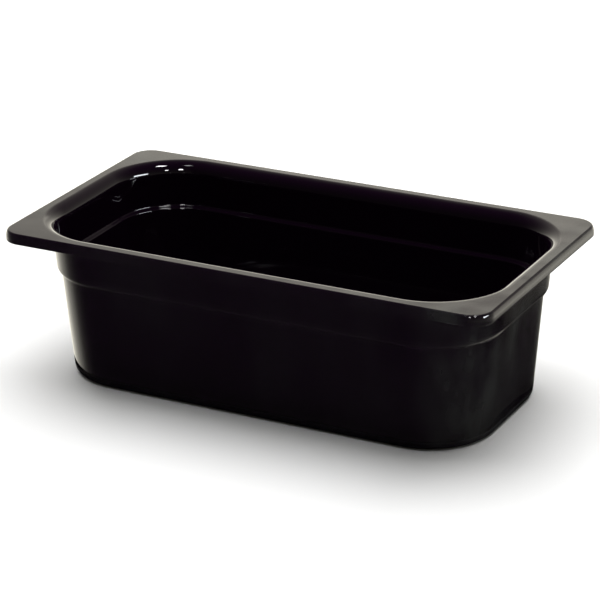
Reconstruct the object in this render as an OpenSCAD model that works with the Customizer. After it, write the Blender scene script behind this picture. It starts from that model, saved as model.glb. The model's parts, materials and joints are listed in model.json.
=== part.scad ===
// Deli food pan of the one-third gastronorm size, moulded in one piece.
// The pan stands on z = 0 with its long sides along X. Its skin is one sweep: a wall profile is
// carried round a rounded rectangle, from the middle of the underside, up the outside, over the
// rim and down the inside to the floor.

/* [Pan] */
// Length over the rim
pan_l = 325; // [300:1:350]
// Width over the rim
pan_w = 176; // [160:1:200]
// Height from the base to the top of the rim
pan_h = 101; // [80:0.1:150]
// Thickness of the walls, flange and floor
wall = 3; // [2:0.1:3.5]

/* [Rim] */
// Corner radius of the rim, seen from above
rim_corner_r = 14; // [10:0.5:20]
// Height of the turned-down edge
skirt_h = 6.6; // [6:0.1:10]
// Height of the leaning band along the top of the outside edge
rim_lean_h = 2.8; // [2.4:0.1:3.2]
// How far that band leans in towards the flange
rim_lean_w = 1; // [0.6:0.1:1.4]
// Rounding between that band and the flange
rim_edge_r = 1.5; // [1:0.1:1.8]
// Rounding between that band and the upright outside edge
rim_side_r = 6; // [3:0.5:6]
// Rounding along both lower edges of the turned-down edge
skirt_edge_r = 0.8; // [0.4:0.1:0.9]
// Rounding in the corner between the turned-down edge and the flange
skirt_hollow_r = 1; // [0.5:0.1:1.5]
// Level width of the flange between its outside edge and the rolled-in lip
flange_w = 6.8; // [5:0.2:9]
// Radius of the lip where the flange rolls over into the mouth
lip_r = 8; // [6:0.5:11]

/* [Collar and shoulder] */
// Corner radius of the collar's outside wall, seen from above
collar_corner_r = 45.5; // [40:0.5:50]
// Slope of the collar wall from the vertical, in degrees
collar_draft = 2.9; // [1:0.1:4]
// How far the wall steps in below the collar
shoulder_step = 2.9; // [2.4:0.1:4]
// Depth below the rim at which the well wall starts outside
shoulder_depth = 33.8; // [32:0.1:40]
// Radius of the collar's rounded lower edge
shoulder_r = 6; // [3:0.5:7]
// Depth below the rim of the ledge inside, where it meets the collar wall
ledge_depth = 28.2; // [25:0.1:29]
// Fall of that ledge towards the well
ledge_fall = 1; // [0.5:0.1:1.5]
// Radius of the hollow corner at the back of the ledge
ledge_hollow_r = 1.2; // [0.5:0.1:1.5]
// Radius of the ledge's front edge
ledge_edge_r = 1; // [0.5:0.1:1.2]

/* [Well] */
// Slope of the well wall from the vertical, in degrees
well_draft = 3.7; // [2:0.1:5]
// Radius of the outside bottom edge
base_r = 5; // [3.5:0.5:8]
// Radius between the well wall and the floor
floor_r = 6; // [4:0.5:12]
// Width of the ring that the pan stands on
foot_w = 6; // [4:0.5:12]
// Depth of the hollow in the underside inside that ring
foot_depth = 0.6; // [0.3:0.1:1]

/* [Fineness] */
// Facets round each corner
corner_steps = 14; // [8:1:16]
// Facets along the lip's roll; smaller roundings get fewer
lip_steps = 8; // [4:1:9]

/* [Hidden] */
pan_black = [0.045, 0.043, 0.048];

flange_under = pan_h - wall;
skirt_bottom = pan_h - skirt_h;
shoulder_z = pan_h - shoulder_depth;
ledge_z = pan_h - ledge_depth;
well_corner_r = collar_corner_r - shoulder_step;
foot_slope_w = 2;
min_steps = 3;

// Inset of the inside and outside walls from the rim edge, at a height
function collar_in(z) = flange_w + lip_r + (pan_h - lip_r - z) * tan(collar_draft);
function collar_out(z) = collar_in(z) - wall;
function well_out(z) = collar_out(shoulder_z) + shoulder_step + (shoulder_z - z) * tan(well_draft);
function well_in(z) = well_out(z) + wall;

foot_outer = well_out(0) + base_r;
foot_inner = foot_outer + foot_w;
foot_recess = foot_inner + foot_slope_w;
floor_edge = well_in(wall) + floor_r;

// Profile corners: [inset from the rim edge, height, rounding, corner radius seen from above]
PROFILE = [
    // Underside, from the hollow middle out over the foot ring
    [foot_recess, foot_depth, 0, well_corner_r + well_out(0) - foot_recess],
    [foot_inner, 0, 0, well_corner_r + well_out(0) - foot_inner],
    // Outside, up the well wall, the shoulder and the collar to the flange's underside
    [well_out(0), 0, base_r, well_corner_r],
    [well_out(shoulder_z), shoulder_z, 0, well_corner_r],
    [collar_out(shoulder_z), shoulder_z + shoulder_step, shoulder_r, collar_corner_r],
    [collar_out(flange_under), flange_under, lip_r - wall, collar_corner_r],
    // Turned-down edge, from its inside to the top of the rim
    [wall, flange_under, skirt_hollow_r, rim_corner_r - wall],
    [wall, skirt_bottom, skirt_edge_r, rim_corner_r - wall],
    [0, skirt_bottom, skirt_edge_r, rim_corner_r],
    [0, pan_h - rim_lean_h, rim_side_r, rim_corner_r],
    [rim_lean_w, pan_h, rim_edge_r, rim_corner_r - rim_lean_w],
    // Inside, over the lip and down the collar, the ledge and the well wall to the floor
    [collar_in(pan_h), pan_h, lip_r, collar_corner_r - wall],
    [collar_in(ledge_z), ledge_z, ledge_hollow_r, collar_corner_r - wall],
    [well_in(ledge_z), ledge_z - ledge_fall, ledge_edge_r, well_corner_r - wall],
    [well_in(wall), wall, floor_r, well_corner_r - wall],
    [floor_edge, wall, 0, well_corner_r - wall - floor_r]
];

function xy(p) = [p[0], p[1]];
function unit(v) = v / norm(v);
function steps(r) = max(min_steps, ceil(lip_steps * r / lip_r));

// Steps of the profile that round one corner off. Its edge stays parallel to the wall beside it,
// so the corner radius seen from above grows by as much as the inset shrinks.
function rounding(before, corner, after) =
    let (back = unit(xy(before) - xy(corner)))
    let (ahead = unit(xy(after) - xy(corner)))
    let (half = acos(back * ahead) / 2)
    let (centre = xy(corner) + unit(back + ahead) * corner[2] / sin(half))
    let (start = xy(corner) + back * corner[2] / tan(half) - centre)
    let (side = sign(back[0] * ahead[1] - back[1] * ahead[0]))
    let (start_a = atan2(start[1], start[0]))
    let (n = steps(corner[2]))
    [
        for (i = [0 : n])
            let (a = start_a + side * (180 - 2 * half) * -i / n)
            let (inset = centre[0] + corner[2] * cos(a))
            [inset, centre[1] + corner[2] * sin(a), corner[3] + corner[0] - inset]
    ];

// The whole profile as steps: [inset, height, corner radius]
function rounded(path) = [
    for (k = [0 : len(path) - 1])
        each path[k][2] == 0
            ? [[path[k][0], path[k][1], path[k][3]]]
            : rounding(path[k - 1], path[k], path[k + 1])
];

// Level loop of points at one step of the profile
function ring(p) =
    let (cx = pan_l / 2 - p[0] - p[2])
    let (cy = pan_w / 2 - p[0] - p[2])
    [
        for (quarter = [0 : 3])
            for (i = [0 : corner_steps])
                let (a = 90 * (quarter + i / corner_steps))
                let (side_x = (quarter == 0 || quarter == 3) ? 1 : -1)
                let (side_y = quarter < 2 ? 1 : -1)
                [side_x * cx + p[2] * cos(a), side_y * cy + p[2] * sin(a), p[1]]
    ];

// Closed skin through the loops, with the first and the last loop capped
module skin(profile) {
    n = 4 * (corner_steps + 1);
    last = len(profile) - 1;
    points = [for (p = profile) each ring(p)];
    strips = [
        for (k = [0 : last - 1])
            for (i = [0 : n - 1])
                let (j = (i + 1) % n)
                each [
                    [k * n + i, (k + 1) * n + i, (k + 1) * n + j],
                    [k * n + i, (k + 1) * n + j, k * n + j]
                ]
    ];
    first_cap = [for (i = [0 : n - 1]) i];
    last_cap = [for (i = [n - 1 : -1 : 0]) last * n + i];
    polyhedron(points = points, faces = concat([first_cap, last_cap], strips));
}

module pan() {
    color(pan_black)
        skin(rounded(PROFILE));
}

pan();
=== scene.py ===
import json
import math

import bpy
from mathutils import Matrix, Vector


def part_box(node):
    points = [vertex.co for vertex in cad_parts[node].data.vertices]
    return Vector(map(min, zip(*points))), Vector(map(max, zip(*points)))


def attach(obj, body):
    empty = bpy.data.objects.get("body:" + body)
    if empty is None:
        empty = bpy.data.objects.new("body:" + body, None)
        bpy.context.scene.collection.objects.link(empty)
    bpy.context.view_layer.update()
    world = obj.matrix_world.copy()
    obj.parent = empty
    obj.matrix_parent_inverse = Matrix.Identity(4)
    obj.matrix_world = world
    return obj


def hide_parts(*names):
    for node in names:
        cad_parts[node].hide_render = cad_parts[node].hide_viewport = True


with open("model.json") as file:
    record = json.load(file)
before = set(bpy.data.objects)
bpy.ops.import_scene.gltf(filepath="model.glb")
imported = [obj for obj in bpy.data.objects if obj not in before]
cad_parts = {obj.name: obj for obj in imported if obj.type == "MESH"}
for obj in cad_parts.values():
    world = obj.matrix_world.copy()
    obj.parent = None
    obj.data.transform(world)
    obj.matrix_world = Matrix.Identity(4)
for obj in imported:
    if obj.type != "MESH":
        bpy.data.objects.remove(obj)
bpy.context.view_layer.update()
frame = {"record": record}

MM = 0.001
LOW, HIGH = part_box("pan")
LENGTH = HIGH.x - LOW.x
WIDTH = HIGH.y - LOW.y
HEIGHT = HIGH.z - LOW.z
MOUNT_Z = {m["name"]: m["pos_m"][2] for m in frame["record"]["mounts"]}


# --- Camera ---------------------------------------------------------------------------------

# Where the camera stands: in front of the pan's front right corner, well above the rim
VIEW_AZIMUTH = math.radians(27.598)
VIEW_ELEVATION = math.radians(22.110)
VIEW_ROLL = math.radians(-0.760)
VIEW_DISTANCE = 1.6851
# How far the middle of the rim lies from the middle of the picture, across and up
VIEW_ASIDE = Vector((-0.00042, 0.04517))
# Sensor width and focal length, in millimetres
SENSOR = 36.0
LENS = 165.487
# Distances between which the camera sees
NEAREST_SEEN = 0.05
FARTHEST_SEEN = 50


def make_camera():
    """The camera looks past the middle of the rim's plane, along the direction above."""
    sa, ca = math.sin(VIEW_AZIMUTH), math.cos(VIEW_AZIMUTH)
    se, ce = math.sin(VIEW_ELEVATION), math.cos(VIEW_ELEVATION)
    back = Vector((sa * ce, -ca * ce, se))
    level = Vector((ca, sa, 0))
    upright = back.cross(level)
    cr, sr = math.cos(VIEW_ROLL), math.sin(VIEW_ROLL)
    right = cr * level + sr * upright
    up = cr * upright - sr * level
    place = Vector((0, 0, HEIGHT)) + VIEW_DISTANCE * back - VIEW_ASIDE.x * right - VIEW_ASIDE.y * up
    data = bpy.data.cameras.new("camera")
    data.sensor_width = SENSOR
    data.lens = LENS
    data.clip_start = NEAREST_SEEN
    data.clip_end = FARTHEST_SEEN
    camera = bpy.data.objects.new("camera", data)
    camera.matrix_world = Matrix.Translation(place) @ Matrix((right, up, back)).transposed().to_4x4()
    bpy.context.scene.collection.objects.link(camera)
    bpy.context.scene.camera = camera


# --- The shell's profile --------------------------------------------------------------------

WALL = 3 * MM
# The flange, the band that leans in along its outer edge, and the lip that rolls into the mouth
FLANGE_W = 6.8 * MM
FLANGE_UNDER = HEIGHT - WALL
RIM_CORNER_R = 14 * MM
RIM_LEAN_H = 2.8 * MM
RIM_LEAN_W = 1 * MM
LIP_R = 8 * MM
# Lower edge of the skirt, which is the flange's turned-down edge
SKIRT_BOTTOM = MOUNT_Z["rim_ledge"]
# The collar, down to the stacking shoulder outside and the ledge inside
COLLAR_CORNER_R = 45.5 * MM
COLLAR_SLOPE = math.tan(math.radians(2.9))
SHOULDER_STEP = 2.9 * MM
SHOULDER_Z = HEIGHT - 33.8 * MM
LEDGE_Z = HEIGHT - 28.2 * MM
LEDGE_FALL = 1 * MM
# The well, its floor and the foot ring under it
WELL_SLOPE = math.tan(math.radians(3.7))
WELL_CORNER_R = COLLAR_CORNER_R - SHOULDER_STEP
BASE_R = 5 * MM
FLOOR_R = 6 * MM
FOOT_W = 6 * MM
FOOT_DEPTH = 0.6 * MM
FOOT_SLOPE_W = 2 * MM
FOOT_RECESS_FLAT = 4 * MM
# Roundings of the smaller edges
FOOT_EDGE_R = 1.5 * MM
SHOULDER_LOW_R = 0.5 * MM
SHOULDER_R = 6 * MM
UNDER_FLANGE_R = 1 * MM
SKIRT_EDGE_R = 0.8 * MM
RIM_OUTER_R = 6 * MM
RIM_TOP_R = 1.5 * MM
LEDGE_R = 1.2 * MM
LEDGE_EDGE_R = 1 * MM


def collar_in(z):
    """Inset of the collar's inside from the rim edge at a height. The next three are alike."""
    return FLANGE_W + LIP_R + (HEIGHT - LIP_R - z) * COLLAR_SLOPE


def collar_out(z):
    return collar_in(z) - WALL


def well_out(z):
    return collar_out(SHOULDER_Z) + SHOULDER_STEP + (SHOULDER_Z - z) * WELL_SLOPE


def well_in(z):
    return well_out(z) + WALL


def base_corner_r(inset):
    """Corner radius, seen from above, of a line that stays parallel to the base's edge."""
    return WELL_CORNER_R + well_out(0) - inset


def profile_corners():
    """Corners of the wall's section: (inset from the rim edge, height, rounding, corner radius seen
    from above), from the middle of the underside, up the outside and down the inside to the floor."""
    foot_inner = well_out(0) + BASE_R + FOOT_W
    foot_recess = foot_inner + FOOT_SLOPE_W
    recess_start = foot_recess + FOOT_RECESS_FLAT
    floor_edge = well_in(WALL) + FLOOR_R
    rim_inner_r = RIM_CORNER_R - WALL
    inner_r = COLLAR_CORNER_R - WALL
    well_inner_r = WELL_CORNER_R - WALL
    return [
        (recess_start, FOOT_DEPTH, 0, base_corner_r(recess_start)),
        (foot_recess, FOOT_DEPTH, FOOT_EDGE_R, base_corner_r(foot_recess)),
        (foot_inner, 0, FOOT_EDGE_R, base_corner_r(foot_inner)),
        (well_out(0), 0, BASE_R, WELL_CORNER_R),
        (well_out(SHOULDER_Z), SHOULDER_Z, SHOULDER_LOW_R, WELL_CORNER_R),
        (collar_out(SHOULDER_Z), SHOULDER_Z + SHOULDER_STEP, SHOULDER_R, COLLAR_CORNER_R),
        (collar_out(FLANGE_UNDER), FLANGE_UNDER, LIP_R - WALL, COLLAR_CORNER_R),
        (WALL, FLANGE_UNDER, UNDER_FLANGE_R, rim_inner_r),
        (WALL, SKIRT_BOTTOM, SKIRT_EDGE_R, rim_inner_r),
        (0, SKIRT_BOTTOM, SKIRT_EDGE_R, RIM_CORNER_R),
        (0, HEIGHT - RIM_LEAN_H, RIM_OUTER_R, RIM_CORNER_R),
        (RIM_LEAN_W, HEIGHT, RIM_TOP_R, RIM_CORNER_R - RIM_LEAN_W),
        (collar_in(HEIGHT), HEIGHT, LIP_R, inner_r),
        (collar_in(LEDGE_Z), LEDGE_Z, LEDGE_R, inner_r),
        (well_in(LEDGE_Z), LEDGE_Z - LEDGE_FALL, LEDGE_EDGE_R, well_inner_r),
        (well_in(WALL), WALL, FLOOR_R, well_inner_r),
        (floor_edge, WALL, 0, well_inner_r - FLOOR_R),
    ]


# Longest stretch of profile between two loops, the turn between two loops of a rounding, and the
# distance of the loops that hold a flat stretch flat beside its roundings
LOOP_GAP = 7 * MM
LOOP_TURN = math.radians(8)
FEWEST_TURNS = 4
HOLD_GAP = 0.3 * MM


def rounding(before, corner, after):
    """Loops that round one corner off. The edge stays parallel to the wall beside it."""
    inset, z, r, plan_r = corner
    at = Vector((inset, z))
    back = (Vector(before[:2]) - at).normalized()
    ahead = (Vector(after[:2]) - at).normalized()
    half = back.angle(ahead) / 2
    centre = at + (back + ahead).normalized() * r / math.sin(half)
    start = at + back * r / math.tan(half) - centre
    start_a = math.atan2(start.y, start.x)
    side = math.copysign(1, back.x * ahead.y - back.y * ahead.x)
    turn = math.pi - 2 * half
    n = max(FEWEST_TURNS, math.ceil(turn / LOOP_TURN))
    loops = []
    for i in range(n + 1):
        a = start_a - side * turn * i / n
        x = centre.x + r * math.cos(a)
        loops.append((x, centre.y + r * math.sin(a), plan_r + inset - x))
    return loops


def flat_stretch(start, end):
    """Loops between two roundings: one close to each end, and the rest evenly spread."""
    gap = math.dist(start[:2], end[:2])
    if gap < 3 * HOLD_GAP:
        return []
    n = max(1, math.ceil((gap - 2 * HOLD_GAP) / LOOP_GAP))
    first = HOLD_GAP / gap
    shares = [first + (1 - 2 * first) * i / n for i in range(n + 1)]
    return [tuple(a + (b - a) * t for a, b in zip(start, end)) for t in shares]


def profile_loops():
    """The whole profile as loops (inset, height, corner radius)."""
    corners = profile_corners()
    loops = [(corners[0][0], corners[0][1], corners[0][3])]
    for before, corner, after in zip(corners, corners[1:], corners[2:]):
        rounded = rounding(before, corner, after)
        loops += flat_stretch(loops[-1], rounded[0])
        loops += rounded
    last = corners[-1]
    loops += flat_stretch(loops[-1], (last[0], last[1], last[3]))
    return loops + [(last[0], last[1], last[3])]


# --- The shell's mesh -----------------------------------------------------------------------

# Steps of a level loop round each corner and along the long and the short sides
CORNER_STEPS = 40
LONG_STEPS = 36
SHORT_STEPS = 14
# How far the long and short walls draw inwards at their middle as the moulding shrinks
LONG_BOW = 0.35 * MM
SHORT_BOW = 0.15 * MM


def wall_bow(z):
    """How much of the bow a height has: none at the rim and base, all of it half way up."""
    return math.sin(math.pi * min(max(z / SKIRT_BOTTOM, 0), 1)) ** 2


def plan_loop(inset, z, plan_r):
    """Points of one level loop: four corners and the four sides between them."""
    cx = LENGTH / 2 - inset - plan_r
    cy = WIDTH / 2 - inset - plan_r
    bow = wall_bow(z)
    points = []
    for quarter in range(4):
        sx = 1 if quarter in (0, 3) else -1
        sy = 1 if quarter < 2 else -1
        for i in range(CORNER_STEPS + 1):
            a = math.pi / 2 * (quarter + i / CORNER_STEPS)
            x = sx * cx + plan_r * math.cos(a)
            y = sy * cy + plan_r * math.sin(a)
            points.append(Vector((x, y, z)))
        steps = LONG_STEPS if quarter % 2 == 0 else SHORT_STEPS
        start = points[-1]
        along = Vector((-2 * sx * cx, 0, 0)) if quarter % 2 == 0 else Vector((0, -2 * sy * cy, 0))
        for i in range(1, steps):
            t = i / steps
            sag = bow * math.sin(math.pi * t) ** 2
            inwards = Vector((0, -sy * LONG_BOW * sag, 0))
            if quarter % 2:
                inwards = Vector((-sx * SHORT_BOW * sag, 0, 0))
            points.append(start + along * t + inwards)
    return points


def towards_circle(loop, radius, z, share):
    """A loop part of the way from a plan loop to a circle, so that a cap closes on a round."""
    points = []
    for p in loop:
        a = math.atan2(p.y, p.x)
        round_p = Vector((radius * math.cos(a), radius * math.sin(a), z))
        flat_p = Vector((p.x, p.y, z))
        points.append(flat_p.lerp(round_p, share))
    return points


# The gate mark: a shallow round recess with a nub in its middle, and how softly their edges turn
GATE_R = 8 * MM
GATE_DEPTH = 0.5 * MM
GATE_BRIM = 0.3 * MM
GATE_SLOPE_W = 0.5 * MM
GATE_EDGE = 0.05 * MM
NUB_R = 1.7 * MM
NUB_H = 0.35 * MM
NUB_SPREAD = 0.4 * MM
NUB_FLARE = 0.1 * MM
NUB_EDGE = 0.08 * MM
# The underside's and the floor's flat caps: their loops, and the small round that each closes on
CAP_LOOPS = 9
UNDER_ROUND_R = GATE_R + 2 * GATE_BRIM
FLOOR_ROUND_R = 6 * MM


def gate_loops(edge):
    """The middle of the underside: the shallow round where the plastic was let in, and its nub."""
    top = FOOT_DEPTH + GATE_DEPTH
    nub = top - NUB_H
    steps = [
        (GATE_R + GATE_BRIM, FOOT_DEPTH),
        (GATE_R, FOOT_DEPTH + GATE_EDGE),
        (GATE_R - GATE_SLOPE_W, top - GATE_EDGE),
        (GATE_R - GATE_SLOPE_W - GATE_BRIM, top),
        (NUB_R + NUB_SPREAD, top),
        (NUB_R + NUB_FLARE, top - GATE_EDGE),
        (NUB_R, nub + NUB_EDGE),
        (NUB_R - GATE_BRIM, nub),
    ]
    inner = [towards_circle(edge, r, z, 1) for r, z in reversed(steps)]
    shares = [1 - i / CAP_LOOPS for i in range(CAP_LOOPS)]
    outer = [towards_circle(edge, UNDER_ROUND_R, FOOT_DEPTH, share) for share in shares]
    return inner + outer


def floor_loops(edge):
    """The pan's floor, closing from its edge on a small round in the middle."""
    shares = [i / CAP_LOOPS for i in range(1, CAP_LOOPS + 1)]
    return [towards_circle(edge, FLOOR_ROUND_R, WALL, share) for share in shares]


# Where the flange's texture fades: in from the rim edge, and out where the lip starts to roll in
SATIN_FADE_IN = 1 * MM
SATIN_FADE_OUT = 2 * MM
SATIN_END = FLANGE_W + 2.5 * MM


def satin_share(inset, z):
    """How much of the flange's fine texture a loop has: all on its level top, fading out where the
    lip starts."""
    if z < HEIGHT - LIP_R or inset > FLANGE_W + LIP_R:
        return 0.0
    fade_in = min(max((inset - RIM_LEAN_W) / SATIN_FADE_IN, 0), 1)
    fade_out = min(max((SATIN_END - inset) / SATIN_FADE_OUT, 0), 1)
    return fade_in * fade_out


def skin_faces(count, n):
    """Faces of a closed skin of count loops with n points each: a cap, the strips and a cap."""
    faces = [tuple(reversed(range(n)))]
    for k in range(count - 1):
        for i in range(n):
            j = (i + 1) % n
            faces.append((k * n + i, k * n + j, (k + 1) * n + j, (k + 1) * n + i))
    last = (count - 1) * n
    faces.append(tuple(last + i for i in range(n)))
    return faces


def build_shell():
    """The pan's one closed skin, as level loops joined by strips of four-sided faces. Its points
    carry how textured they are (satin) and whether they lie outside the rim's highest line."""
    profile = profile_loops()
    loops = [plan_loop(*p) for p in profile]
    satin = [satin_share(p[0], p[1]) for p in profile]
    top = max(range(len(profile)), key=lambda k: profile[k][1])
    outside = [1.0 if k < top else 0.0 for k in range(len(profile))]
    under = gate_loops(loops[0])
    floor = floor_loops(loops[-1])
    loops = under + loops + floor
    satin = [0.0] * len(under) + satin + [0.0] * len(floor)
    outside = [1.0] * len(under) + outside + [0.0] * len(floor)
    n = len(loops[0])
    verts = [p for loop in loops for p in loop]
    mesh = bpy.data.meshes.new("food_pan")
    mesh.from_pydata(verts, [], skin_faces(len(loops), n))
    mesh.validate()
    for name, values in (("satin", satin), ("outside", outside)):
        attribute = mesh.attributes.new(name, "FLOAT", "POINT")
        attribute.data.foreach_set("value", [v for v in values for _ in range(n)])
    mesh.shade_smooth()
    shell = bpy.data.objects.new("food_pan", mesh)
    bpy.context.scene.collection.objects.link(shell)
    return shell


# --- Plastic --------------------------------------------------------------------------------


class Nodes:
    """Short calls for building a node tree."""

    def __init__(self, tree):
        self.tree = tree
        tree.nodes.clear()

    def add(self, kind, **settings):
        node = self.tree.nodes.new(kind)
        for key, value in settings.items():
            setattr(node, key, value)
        return node

    def link(self, out, socket):
        self.tree.links.new(out, socket)

    def noise(self, coords, scale, detail=2.0, roughness=0.5, stretch=(1, 1, 1)):
        mapping = self.add("ShaderNodeMapping")
        mapping.inputs["Scale"].default_value = stretch
        self.link(coords, mapping.inputs["Vector"])
        noise = self.add("ShaderNodeTexNoise")
        noise.inputs["Scale"].default_value = scale
        noise.inputs["Detail"].default_value = detail
        noise.inputs["Roughness"].default_value = roughness
        self.link(mapping.outputs[0], noise.inputs["Vector"])
        return noise.outputs["Fac"]

    def spread(self, value, low, high, to_low, to_high, shape="SMOOTHSTEP"):
        """The value taken from one range to another, without passing its ends."""
        node = self.add("ShaderNodeMapRange", interpolation_type=shape)
        node.inputs["From Min"].default_value = low
        node.inputs["From Max"].default_value = high
        node.inputs["To Min"].default_value = to_low
        node.inputs["To Max"].default_value = to_high
        self.link(value, node.inputs["Value"])
        return node.outputs[0]

    def component(self, vector, axis):
        node = self.add("ShaderNodeSeparateXYZ")
        self.link(vector, node.inputs[0])
        return node.outputs[axis]

    def math(self, operation, a, b):
        node = self.add("ShaderNodeMath", operation=operation)
        for socket, value in zip(node.inputs, (a, b)):
            if isinstance(value, (int, float)):
                socket.default_value = value
            else:
                self.link(value, socket)
        return node.outputs[0]

    def blend(self, share, a, b):
        node = self.add("ShaderNodeMix", data_type="RGBA")
        self.link(share, node.inputs["Factor"])
        for socket, value in zip(node.inputs[6:8], (a, b)):
            if isinstance(value, tuple):
                socket.default_value = (*value, 1)
            else:
                self.link(value, socket)
        return node.outputs[2]

    def bump(self, height, distance, strength, normal=None):
        node = self.add("ShaderNodeBump")
        node.inputs["Strength"].default_value = strength
        node.inputs["Distance"].default_value = distance
        self.link(height, node.inputs["Height"])
        if normal is not None:
            self.link(normal, node.inputs["Normal"])
        return node.outputs[0]


# The plastic's black: a darker copy inside the pan, which is painted shade, and a lighter copy outside,
# which is painted light; and the grey of wiped haze on it
BLACK_INSIDE_PAINTED_SHADE = (0.0045, 0.0012, 0.0050)
BLACK_OUTSIDE_PAINTED_LIGHT = (0.0057, 0.0028, 0.0065)
HAZE_AND_SHEEN_GREY = (0.0300, 0.0308, 0.0306)
# The grey is full on the short ends, where it is haze and also a painted sheen, and this share of it is
# left along the long walls
HAZE_AND_SHEEN_ENDS_FROM = 0.105
HAZE_AND_SHEEN_ENDS_FULL = 0.145
HAZE_ALONG = 0.11
# Roughness where the plastic is clean, where it is hazy, what scratches add, and on the flange
CLEAN_ROUGH = 0.04
HAZY_ROUGH = 0.09
SCRATCH_ROUGH = 0.02
FLANGE_ROUGH = (0.10, 0.16)
# The pan is duller at its bottom, inside and outside: its roughness there, the height up to which
# that is full, and the height where it ends
BOTTOM_ROUGH = 0.35
BOTTOM_FULL = 0.004
BOTTOM_END = 0.009
# Relief of the surface: depth, and how much of it shows
SINK = (0.0006, 0.5)
PEEL = (0.00001, 0.25)
GRAIN = (0.00003, 0.6)
PLASTIC_IOR = 1.5


def point_value(t, name):
    """A value that the mesh carries at its points."""
    return t.add("ShaderNodeAttribute", attribute_name=name).outputs["Fac"]


def wiped_haze_and_end_sheen(t, coords, cloud, outside):
    """Haze left by wiping: clouds broken up by upright strokes, on the outside only. Its full share on
    the short ends is also a painted sheen.
    """
    wipe = t.noise(coords, 55, detail=3, stretch=(1, 1, 0.3))
    strokes = t.math("MULTIPLY", t.spread(cloud, 0.42, 0.66, 0, 1), t.spread(wipe, 0.3, 0.7, 0.4, 1))
    along = t.math("ABSOLUTE", t.component(coords, "X"), 0)
    # Full on the short ends, where the grey paints a sheen on top of the haze
    ends = t.spread(along, HAZE_AND_SHEEN_ENDS_FROM, HAZE_AND_SHEEN_ENDS_FULL, HAZE_ALONG, 1.0)
    return t.math("MULTIPLY", t.math("MULTIPLY", strokes, ends), outside)


def plastic_roughness(t, coords, cloud, haze_and_sheen, satin):
    """Polished walls with haze and fine scratches, a duller bottom, and the flange's texture."""
    scratch = t.noise(coords, 90, detail=4, roughness=0.7, stretch=(1, 6, 6))
    scratched = t.spread(scratch, 0.5, 0.8, 0, SCRATCH_ROUGH)
    polished = t.math("ADD", t.spread(haze_and_sheen, 0, 1, CLEAN_ROUGH, HAZY_ROUGH), scratched)
    bottom = t.spread(t.component(coords, "Z"), BOTTOM_FULL, BOTTOM_END, BOTTOM_ROUGH, 0)
    mix = t.add("ShaderNodeMix", data_type="FLOAT")
    t.link(satin, mix.inputs[0])
    t.link(t.math("MAXIMUM", polished, bottom), mix.inputs[2])
    t.link(t.spread(cloud, 0.35, 0.65, *FLANGE_ROUGH), mix.inputs[3])
    return mix.outputs[0]


def plastic_relief(t, coords, satin):
    """The flange's shallow sink and fine grain, and orange peel all over."""
    sink = t.math("MULTIPLY", t.noise(coords, 38, detail=1), satin)
    peel = t.noise(coords, 260, detail=1)
    grain = t.math("MULTIPLY", t.noise(coords, 1100, detail=2), satin)
    return t.bump(grain, *GRAIN, t.bump(peel, *PEEL, t.bump(sink, *SINK)))


def black_plastic():
    """Polished black moulding: deep black, painted darker inside as shade and lighter outside as light,
    with wiped haze that is also a painted sheen on the short ends, faint scratches and a satin flange.
    """
    material = bpy.data.materials.new("black_moulded_plastic")
    material.use_nodes = True
    t = Nodes(material.node_tree)
    coords = t.add("ShaderNodeTexCoord").outputs["Object"]
    satin = point_value(t, "satin")
    outside = point_value(t, "outside")
    cloud = t.noise(coords, 20, detail=4, roughness=0.6, stretch=(1, 1, 0.6))
    haze_and_sheen = wiped_haze_and_end_sheen(t, coords, cloud, outside)
    # Lit and shaded copies of one black: painted shade inside the pan, painted light outside
    black = t.blend(outside, BLACK_INSIDE_PAINTED_SHADE, BLACK_OUTSIDE_PAINTED_LIGHT)
    shader = t.add("ShaderNodeBsdfPrincipled")
    shader.inputs["IOR"].default_value = PLASTIC_IOR
    shader.inputs["Specular IOR Level"].default_value = 0.5
    # The haze grey, which on the short ends is also a painted sheen
    t.link(t.blend(haze_and_sheen, black, HAZE_AND_SHEEN_GREY), shader.inputs["Base Color"])
    t.link(plastic_roughness(t, coords, cloud, haze_and_sheen, satin), shader.inputs["Roughness"])
    t.link(plastic_relief(t, coords, satin), shader.inputs["Normal"])
    output = t.add("ShaderNodeOutputMaterial")
    t.link(shader.outputs[0], output.inputs["Surface"])
    return material


# --- Studio ---------------------------------------------------------------------------------

FLOOR_SIZE = 12.0
FLOOR_GREY = 0.85
FLOOR_DULL = 0.9
# The black card, a painted shadow under the pan that only the gloss sees, goes this far past the base's
# edge, a little above the floor
SHADOW_CARD_PAST_BASE = 8 * MM
SHADOW_CARD_LIFT = 0.3 * MM
SHADOW_CARD_GREY = 0.002
SHADOW_CARD_DULL = 0.5


def studio_sheet(name, points, material_name, grey, roughness):
    """A flat piece of the studio, in one matt grey."""
    mesh = bpy.data.meshes.new(name)
    mesh.from_pydata(points, [], [tuple(range(len(points)))])
    material = bpy.data.materials.new(material_name)
    material.use_nodes = True
    shader = material.node_tree.nodes["Principled BSDF"]
    shader.inputs["Base Color"].default_value = (grey, grey, grey, 1)
    shader.inputs["Roughness"].default_value = roughness
    shader.inputs["Specular IOR Level"].default_value = 0.0
    mesh.materials.append(material)
    sheet = bpy.data.objects.new(name, mesh)
    bpy.context.scene.collection.objects.link(sheet)
    return sheet


def make_floor():
    """A plain pale floor. The gloss doesn't see it: it sees the lower half of the world instead."""
    s = FLOOR_SIZE / 2
    corners = [(-s, -s, 0), (s, -s, 0), (s, s, 0), (-s, s, 0)]
    floor = studio_sheet("studio_floor", corners, "pale_floor", FLOOR_GREY, FLOOR_DULL)
    floor.visible_glossy = False


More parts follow.
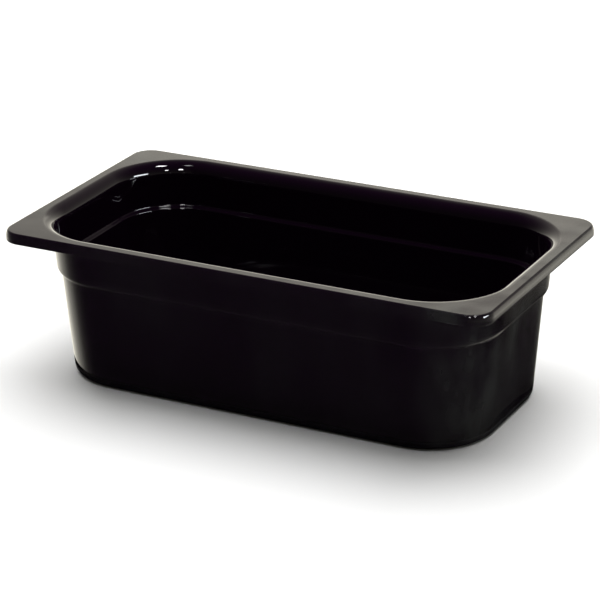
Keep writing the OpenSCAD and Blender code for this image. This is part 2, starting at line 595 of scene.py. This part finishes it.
def make_painted_shadow_card():
    """A black card under the pan and a little round it, which only gloss sees. It is a painted shadow
    that keeps the reflections at the bottom edge dark."""
    inset = well_out(0) - SHADOW_CARD_PAST_BASE
    outline = plan_loop(inset, SHADOW_CARD_LIFT, base_corner_r(inset))
    # The card stands in for the shadow under the pan, and only the gloss sees it
    card = studio_sheet("painted_shadow_card", outline, "painted_shadow_black", SHADOW_CARD_GREY, SHADOW_CARD_DULL)
    for ray in ("camera", "diffuse", "transmission", "volume_scatter", "shadow"):
        setattr(card, "visible_" + ray, False)


def softbox(name, direction, distance, across, tall, radiance, tint=(1, 1, 1), is_window=True):
    """A soft rectangular light that faces the rim's middle from a direction. Only the gloss sees a
    window, and a softbox that isn't one lights everything but the gloss."""
    data = bpy.data.lights.new(name, "AREA")
    data.shape = "RECTANGLE"
    data.size = across
    data.size_y = tall
    data.energy = radiance * math.pi * across * tall
    data.color = tint
    light = bpy.data.objects.new(name, data)
    towards = Vector(direction).normalized()
    light.location = Vector((0, 0, HEIGHT)) + towards * distance
    light.rotation_euler = towards.to_track_quat("Z", "Y").to_euler()
    light.visible_camera = False
    light.visible_diffuse = not is_window
    light.visible_glossy = is_window
    bpy.context.scene.collection.objects.link(light)


def ramp(t, value, stops, shape):
    """A grey ramp through stops (place from 0 to 1, level)."""
    node = t.add("ShaderNodeValToRGB")
    node.color_ramp.interpolation = shape
    elements = node.color_ramp.elements
    for place, level in stops[1:-1]:
        elements.new(place)
    for element, (place, level) in zip(elements, stops):
        element.position = place
        element.color = (level, level, level, 1)
    t.link(value, node.inputs[0])
    return node.outputs[0]


# The studio as a world of five glows. Each is its brightness by compass (degrees from +Y towards +X)
# times its brightness by height (sine of the elevation) times its level. Its shape says how the
# stops of both are joined.
# A bright patch above the horizon, behind the pan
PATCH_BEHIND = {
    "compass": [(-180, 0), (-35, 0), (-32, .15), (-29, .9), (-26, .9), (-22, .9), (-14, .2), (-8, 0),
                (180, 0)],
    "height": [(-1, 0), (.28, 0), (.33, 1), (.36, .9), (.39, 0), (1, 0)],
    "level": 0.75,
    "shape": "LINEAR",
}
# The studio's wall, brightest behind and to the left
STUDIO_WALL = {
    "compass": [(-180, 0), (-122, .01), (-104, .07), (-84, .15), (-60, .48), (-46, .62), (-30, .86),
                (-22, .72), (-6, .56), (6, .50), (18, .42), (30, .30), (60, .1), (180, .02)],
    "height": [(-1, 0), (-.45, 0), (-.41, 0), (-.35, .55), (-.20, 1), (.03, 1), (.12, .65), (.20, .50),
               (.34, .34), (.47, .21), (.59, .14), (.69, .10), (.79, .055), (.87, .02), (.94, .01),
               (1, .01)],
    "level": 3.0,
    "shape": "B_SPLINE",
}
# The pale sweep on the left, below the horizon
LEFT_SWEEP = {
    "compass": [(-180, 0), (-122, 0), (-110, .04), (-98, .15), (-88, .45), (-68, 1), (-46, 1),
                (-24, .4), (-10, .07), (2, .005), (24, 0), (180, 0)],
    "height": [(-1, .03), (-.74, .05), (-.62, .2), (-.52, .65), (-.42, 1), (-.12, 1), (.04, 0), (1, 0)],
    "level": 1.5,
    "shape": "B_SPLINE",
}
# The far sweep on the right, below the horizon
FAR_RIGHT_SWEEP = {
    "compass": [(-180, 0), (-6, 0), (10, .5), (24, 1), (40, .9), (56, .3), (76, .05), (180, 0)],
    "height": [(-1, 0), (-.410, 0), (-.394, .06), (-.372, .9), (-.30, 1), (-.12, .8), (.02, 0), (1, 0)],
    "level": 0.65,
    "shape": "LINEAR",
}
# The sweep steeply below, brightest behind
SWEEP_BELOW = {
    "compass": [(-180, .03), (-100, .03), (-50, .08), (-20, .3), (-4, 1), (16, 1), (28, .3), (60, .15),
                (100, .06), (180, .03)],
    "height": [(-1, .8), (-.66, .8), (-.56, .5), (-.505, 0), (1, 0)],
    "level": 0.6,
    "shape": "LINEAR",
}
ROOM_LEVEL = 0.015
ROOM_TINT = (1.0, 0.962, 0.835)


def make_world():
    """A softly lit studio behind the pan, fading to a dark ceiling and a dark near side."""
    world = bpy.data.worlds.new("studio")
    world.use_nodes = True
    t = Nodes(world.node_tree)
    split = t.add("ShaderNodeSeparateXYZ")
    t.link(t.add("ShaderNodeTexCoord").outputs["Generated"], split.inputs[0])
    x, y, z = split.outputs
    turn = t.spread(t.math("ARCTAN2", x, y), -math.pi, math.pi, 0, 1, "LINEAR")
    rise = t.spread(z, -1, 1, 0, 1, "LINEAR")
    total = ROOM_LEVEL
    for glow in (PATCH_BEHIND, STUDIO_WALL, LEFT_SWEEP, FAR_RIGHT_SWEEP, SWEEP_BELOW):
        across = ramp(t, turn, [((a + 180) / 360, v) for a, v in glow["compass"]], glow["shape"])
        up = ramp(t, rise, [((h + 1) / 2, v) for h, v in glow["height"]], glow["shape"])
        light = t.math("MULTIPLY", t.math("MULTIPLY", across, up), glow["level"])
        total = t.math("ADD", light, total)
    background = t.add("ShaderNodeBackground")
    background.inputs["Color"].default_value = (*ROOM_TINT, 1)
    t.link(total, background.inputs["Strength"])
    output = t.add("ShaderNodeOutputWorld")
    t.link(background.outputs[0], output.inputs["Surface"])
    bpy.context.scene.world = world


SOFTBOX_DISTANCE = 3.0
SOFTBOX_RADIANCE = 4.3
WINDOW_DISTANCE = 2.0
COOL = (0.90, 0.95, 1.0)


def make_lights():
    """A large overhead softbox for the floor, and small windows that the gloss picks up."""
    softbox("top_softbox", (-0.1, 0.25, 1), SOFTBOX_DISTANCE, 4.0, 4.0, SOFTBOX_RADIANCE, is_window=False)
    softbox("window_overhead", (0.22, -0.04, 0.97), WINDOW_DISTANCE, 0.36, 0.22, 45)
    softbox("window_front", (0.20, -0.79, 0.58), WINDOW_DISTANCE, 0.24, 0.26, 60)
    softbox("window_corner", (0.56, -0.63, 0.53), WINDOW_DISTANCE, 0.18, 0.20, 42)
    softbox("window_dim", (-0.16, -0.28, 0.95), WINDOW_DISTANCE, 0.30, 0.20, 7)
    softbox("window_side", (0.95, 0.02, 0.26), WINDOW_DISTANCE, 1.0, 0.34, 25, COOL)


make_camera()
shell = build_shell()
shell.data.materials.append(black_plastic())
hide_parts("pan")
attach(shell, "root")
make_floor()
make_painted_shadow_card()
make_world()
make_lights()
bpy.context.scene.view_settings.view_transform = "Standard"
